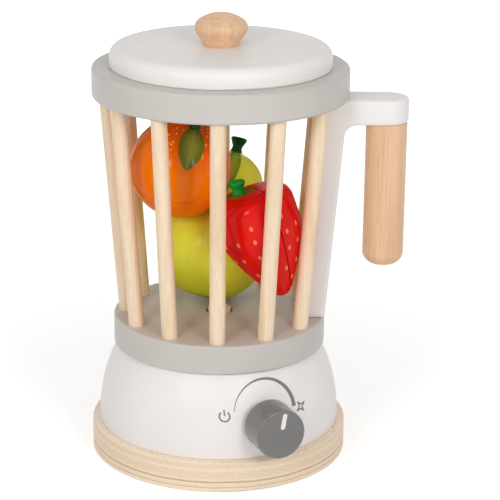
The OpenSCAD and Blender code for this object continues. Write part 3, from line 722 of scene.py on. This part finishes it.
HOUSING_CURVE_R = 78.5
HOUSING_BELLY = 3.6
CAVITY_R = 24
CAVITY_TOP = 50
PEG_HOLE_R = 6.08
PEG_HOLE_EDGE_R = 0.4
BOSS_R = 12
BOSS_H = 5
BOSS_EDGE_R = 0.7
HOUSING_FOOT_R = 0.6
HOUSING_TOP_R = 0.8

# Printed marks on the dome, seen along the knob's axis: places and sizes from that axis
MARK_LIFT = 0.05
MARK_STEP = 0.7
SWELL_AT = (0.4, 3.9)
SWELL_R = 16.5
SWELL_ENDS = (172, 2)
POWER_AT = Vector((-20.7, 4.1))
POWER_R = 2.45
POWER_ENDS = (128, 412)
POWER_BAR = (0.3, 1.8, 3.3)
POWER_RING_W = 0.78
POWER_BAR_W = 0.72
CUTTER_AT = Vector((21.2, 3.2))
# Reach of one blade's four corners from the cutter's middle, and the angle of the first
CUTTER_REACH = (3.7, 1.9, 1.35, 2.1)
CUTTER_BLADES = 4
CUTTER_TURN = 35
CUTTER_EYE_R = 1
CUTTER_EYE_LIFT = 1.6 * MARK_LIFT
CUTTER_HUB_R = 0.45
CUTTER_HUB_LIFT = 2.2 * MARK_LIFT

housing_low, housing_high = box_mm("base_housing")
housing_r = housing_high.x
curve_middle = (housing_r - HOUSING_CURVE_R, housing_low.z + HOUSING_BELLY)
knob_low, knob_high = box_mm("control_knob")
knob_z = (knob_low.z + knob_high.z) / 2
knob_way = Vector((math.sin(math.radians(KNOB_TURN)), -math.cos(math.radians(KNOB_TURN)), 0))
knob_side = Vector((math.cos(math.radians(KNOB_TURN)), math.sin(math.radians(KNOB_TURN)), 0))


def dome_r(z):
    return curve_middle[0] + math.sqrt(HOUSING_CURVE_R ** 2 - (z - curve_middle[1]) ** 2)


def make_housing():
    floor_z = housing_high.z - BOSS_H
    levels = [housing_low.z + (floor_z - housing_low.z) * k / 24 for k in range(25)]
    side = [(dome_r(z), z, 0) for z in levels]
    side[0] = (*side[0][:2], HOUSING_FOOT_R)
    side[-1] = (*side[-1][:2], HOUSING_TOP_R)
    outline = rounded([(CAVITY_R, housing_low.z, 0)] + side + [
        (BOSS_R, floor_z, 0), (BOSS_R, housing_high.z, BOSS_EDGE_R),
        (PEG_HOLE_R, housing_high.z, PEG_HOLE_EDGE_R), (PEG_HOLE_R, CAVITY_TOP, 0),
        (CAVITY_R, CAVITY_TOP, 0)])
    add_piece(turned("housing", outline, 256, closed=True), "base", "white_lacquer", "base_housing")


def on_dome(u, v, height):
    """Point of the dome that lies u across and v above the knob's axis, seen along that axis."""
    z = knob_z + v
    r = dome_r(z)
    out = Vector((r - curve_middle[0], z - curve_middle[1])) / HOUSING_CURVE_R
    turn = math.asin(u / r)
    around = math.cos(turn) * knob_way + math.sin(turn) * knob_side
    return around * (r + height * out.x) + Vector((0, 0, z + height * out.y))


def stroke(points, width):
    """Outline of a line through the points, as wide as width(share) at each share of its length."""
    left, right = [], []
    count = len(points)
    for k, point in enumerate(points):
        here = Vector(point)
        along = (Vector(points[min(k + 1, count - 1)]) - Vector(points[max(k - 1, 0)])).normalized()
        side = Vector((-along.y, along.x)) * width(k / (count - 1)) / 2
        left.append(tuple(here + side))
        right.append(tuple(here - side))
    return left + right[::-1]


def swell_width(share):
    """Width of the arc, which grows from a hairline to its broad end."""
    return 0.3 + 2 * share ** 1.25


def add_mark(name, outline, finish="mark_ink", lift=MARK_LIFT):
    piece = patch(name, outline, on_dome, lift, MARK_STEP)
    dress(piece, finish)
    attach(piece, "base")


def make_marks():
    """Printed marks round the knob: a power sign, a swelling arc and a small cutter with four blades."""
    add_mark("mark_arc", stroke(arc(SWELL_AT, SWELL_R, *SWELL_ENDS, 48), swell_width))
    add_mark("mark_power_ring", stroke(arc(POWER_AT, POWER_R, *POWER_ENDS, 36), lambda share: POWER_RING_W))
    bar = [POWER_AT + Vector((0, y)) for y in POWER_BAR]
    add_mark("mark_power_bar", stroke(bar, lambda share: POWER_BAR_W))
    reaches = CUTTER_BLADES * CUTTER_REACH
    turns = [math.radians(360 / len(reaches) * k + CUTTER_TURN) for k in range(len(reaches))]
    blades = [tuple(CUTTER_AT + reach * Vector((math.cos(a), math.sin(a))))
              for a, reach in zip(turns, reaches)]
    add_mark("mark_cutter", blades)
    add_mark("mark_cutter_eye", arc(CUTTER_AT, CUTTER_EYE_R, 0, 350, 20), "white_lacquer",
             CUTTER_EYE_LIFT)
    add_mark("mark_cutter_hub", arc(CUTTER_AT, CUTTER_HUB_R, 0, 340, 12), lift=CUTTER_HUB_LIFT)


# ---------------------------------------------------------------- handle

LEG_T = 13
LEG_LEAN = 4.727
ARM_FILLET_R = 6.5
BRACKET_EDGE_R = 1.7


def with_modifiers(piece):
    """Puts the result of a piece's modifiers into its mesh."""
    bpy.context.view_layer.update()
    graph = bpy.context.evaluated_depsgraph_get()
    mesh = bpy.data.meshes.new_from_object(piece.evaluated_get(graph))
    piece.modifiers.clear()
    piece.data = mesh
    smooth(mesh)


def prism(name, outline, place, depth):
    """Outline extruded by depth to both sides of its plane."""
    bm = bmesh.new()
    face = bm.faces.new([bm.verts.new((x, y, -depth)) for x, y in outline])
    top = bmesh.ops.extrude_face_region(bm, geom=[face])["geom"]
    corners = [g for g in top if isinstance(g, bmesh.types.BMVert)]
    bmesh.ops.translate(bm, vec=(0, 0, 2 * depth), verts=corners)
    return finish_mesh(name, bm, place)


def make_bracket():
    low, high = box_mm("handle_bracket")
    grip_low, grip_high = box_mm("handle_grip")
    arm_z = grip_high.z
    grip_x = (grip_low.x + grip_high.x) / 2
    half = high.y

    def outer(z):
        return low.x + LEG_T + math.tan(math.radians(LEG_LEAN)) * (z - low.z)

    side = rounded([
        (low.x, low.z, 0), (outer(low.z), low.z, 0), (outer(arm_z), arm_z, ARM_FILLET_R),
        (high.x + half, arm_z, 0), (high.x + half, high.z, 0), (outer(high.z) - LEG_T, high.z, 0)], 10)
    upright = Matrix.Rotation(math.radians(90), 4, "X")
    bracket = prism("bracket", side, upright, half)
    plan = [(0, -half)] + arc((grip_x, 0), half, -90, 90, 40) + [(0, half)]
    # A little wider than the bracket, so that no faces coincide
    plan = [(x, y * 1.0001) for x, y in plan]
    cutter = prism("cutter", plan, None, 2 * high.z)
    cut = bracket.modifiers.new("round_end", "BOOLEAN")
    cut.operation = "INTERSECT"
    cut.object = cutter
    edges = bracket.modifiers.new("edges", "BEVEL")
    edges.width = BRACKET_EDGE_R * MM
    edges.segments = 5
    edges.limit_method = "ANGLE"
    edges.angle_limit = math.radians(40)
    edges.use_clamp_overlap = False
    with_modifiers(bracket)
    bpy.data.objects.remove(cutter)
    add_piece(bracket, "jug", "white_lacquer", "handle_bracket")


# ---------------------------------------------------------------- fruit

def side_middle(to_first, to_second, h):
    """Middle of a curve past two balls, the second h above the first, from its distances to their middles."""
    z = (to_first ** 2 - to_second ** 2 + h ** 2) / (2 * h)
    return math.sqrt(to_first ** 2 - z ** 2), z


def angle_to(start, end):
    return math.degrees(math.atan2(end[1] - start[1], end[0] - start[0]))


def pear_outline(r):
    """Turned outline of a pear, from its flattened bottom to the top of its neck."""
    neck = (0, PEAR_NECK_RISE)
    waist = side_middle(r + PEAR_WAIST_R, PEAR_NECK_R + PEAR_WAIST_R, PEAR_NECK_RISE)
    bottom = math.degrees(math.asin(-PEAR_FLAT))
    body = arc((0, 0), r, bottom, angle_to((0, 0), waist), 44)
    low, high = angle_to(waist, (0, 0)) + 360, angle_to(waist, neck)
    hollow = arc(waist, PEAR_WAIST_R, low, high, 16)[1:-1]
    top = arc(neck, PEAR_NECK_R, angle_to(neck, waist), 90, 36)
    return [(0, -PEAR_FLAT * r)] + body + hollow + [(max(0, x), z) for x, z in top]


def strawberry_outline():
    """Turned outline of a strawberry, tip down, with full sides, round shoulders and a faintly hollow top."""
    beside, below = side_middle(STRAWBERRY_SIDE_R - STRAWBERRY_R, STRAWBERRY_SIDE_R - STRAWBERRY_TIP_R,
                                STRAWBERRY_DROP)
    side = (-beside, -below)
    tip = (0, -STRAWBERRY_DROP)
    turn_top, turn_low = angle_to(side, (0, 0)), angle_to(side, tip)
    end = arc(tip, STRAWBERRY_TIP_R, -90, turn_low, 16)
    flank = arc(side, STRAWBERRY_SIDE_R, turn_low, turn_top, 30)[1:-1]
    belly = arc((0, 0), STRAWBERRY_R, turn_top, 0, 10)
    top_r = STRAWBERRY_R - STRAWBERRY_SHOULDER_R
    shoulder = arc((top_r, STRAWBERRY_RISE - STRAWBERRY_SHOULDER_R), STRAWBERRY_SHOULDER_R, 0, 84, 20)
    top = [(r, STRAWBERRY_RISE - STRAWBERRY_HOLLOW * (1 - r / top_r) ** 2) for r in (9, 7, 5, 3.3, 0)]
    return [(max(0, x), z) for x, z in end] + flank + belly + shoulder + top


def on_turned(outline, height, turn):
    """Frame on a turned piece's side: z out of the surface and x up along it."""
    def side(z):
        pairs = zip(outline, outline[1:])
        (r0, z0), (r1, z1) = next(p for p in pairs if p[0][1] <= z <= p[1][1])
        return r0 + (r1 - r0) * (z - z0) / (z1 - z0)

    r, slope = side(height), (side(height + 0.5) - side(height - 0.5))
    up = Vector((slope, 0, 1)).normalized()
    out = Vector((1, 0, -slope)).normalized()
    frame_here = Matrix((up, out.cross(up), out)).transposed().to_4x4()
    return Matrix.Rotation(math.radians(turn), 4, "Z") @ Matrix.Translation((r, 0, height)) @ frame_here


def make_seeds():
    """Painted seeds in rows, each a low oval that stands a little proud of the strawberry."""
    bm = bmesh.new()
    outline = strawberry_outline()
    size = Matrix.Diagonal((*SEED_REACH, 1))
    for row, (height, first, count) in enumerate(SEED_ROWS):
        for k in range(count):
            z = height + SEED_STRAY * math.sin(2.4 * k)
            turn = first + 360 * k / count + SEED_STRAY_TURN * math.sin(3.1 * k + row)
            at = on_turned(outline, z, turn)
            bmesh.ops.create_icosphere(bm, subdivisions=3, radius=1, matrix=at @ size)
    seeds = finish_mesh("strawberry_seeds", bm, strawberry_place, smooth_angle=60)
    dress(seeds, "seed_paint")
    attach(seeds, "strawberry")


def make_halves(fruit, outline, place, normal, out, halves):
    """Two halves of a fruit, cut at a distance out along a normal, both in its own frame."""
    for side, node in zip((1, -1), halves):
        bm = turned_bmesh(outline, 144)
        keep_half(bm, normal * out + side * normal * HALF_GAP / 2, side * normal)
        add_piece(finish_mesh(node.replace("_half", "_piece"), bm, place), fruit, fruit + "_paint", node)


def make_stem(fruit, place, slot, height=STEM_H, waist_r=STEM_WAIST_R):
    """Turned stem that flares from its waist to a round rim with a faintly hollow top."""
    outline = rounded([
        (0, -STEM_SINK, 0), (STEM_FOOT_R, -STEM_SINK, 0), (STEM_FOOT_R, 0.3, 0.3),
        (waist_r, STEM_WAIST_Z, 2.5), (STEM_RIM_R, height - STEM_RIM_H, 0.8), (STEM_RIM_R - 0.2, height, 0.5),
        (3.2, height - 0.3, 0.3), (2.2, height - 0.9, 0.5), (0, height - 1.1, 0)])
    add_piece(turned(fruit + "_stalk", outline, 48, place), fruit, slot, fruit + "_stem")


def make_orange():
    outline = arc((0, 0), orange_r, -90, 90, 96)
    outline[0], outline[-1] = (0, -orange_r), (0, orange_r)
    make_halves("orange", outline, standing(orange_middle, *ORANGE_CUT), Vector((0, 0, 1)), 0,
                ("orange_upper_half", "orange_lower_half"))
    top = standing(orange_middle, *ORANGE_STEM) @ Matrix.Translation((0, 0, orange_r))
    make_stem("orange", top, "dark_green_paint")


def make_pear():
    low, high = box_mm("pear_front_half", "pear_back_half")
    make_halves("pear", pear_outline((high.x - low.x) / 2), pear_place, across(PEAR_CUT_ANGLE), PEAR_CUT_OUT,
                ("pear_front_half", "pear_back_half"))
    top = pear_place @ Matrix.Translation((0, 0, PEAR_NECK_RISE + PEAR_NECK_R))
    make_stem("pear", top, "dark_green_paint")


def make_strawberry():
    make_halves("strawberry", strawberry_outline(), strawberry_place, across(STRAWBERRY_CUT_ANGLE),
                STRAWBERRY_CUT_OUT, ("strawberry_small_half", "strawberry_large_half"))
    make_stem("strawberry", standing(strawberry_stem_at, *STRAWBERRY_STEM), "bright_green_paint",
              STRAWBERRY_STEM_H, STRAWBERRY_WAIST_R)


make_housing()
make_marks()
make_bracket()
make_orange()
make_pear()
make_strawberry()
make_seeds()
bpy.context.scene.view_settings.view_transform = "Standard"
make_camera()
make_world()
make_floor()
out, front, height = FRONT_LIGHT_AT
area_light("front_left", (-out, front, height), FRONT_LIGHT_SIZE, FRONT_LIGHT)
area_light("front_right", (out, front, height), FRONT_LIGHT_SIZE, FRONT_LIGHT)
area_light("top", TOP_LIGHT_AT, TOP_LIGHT_SIZE, TOP_LIGHT)
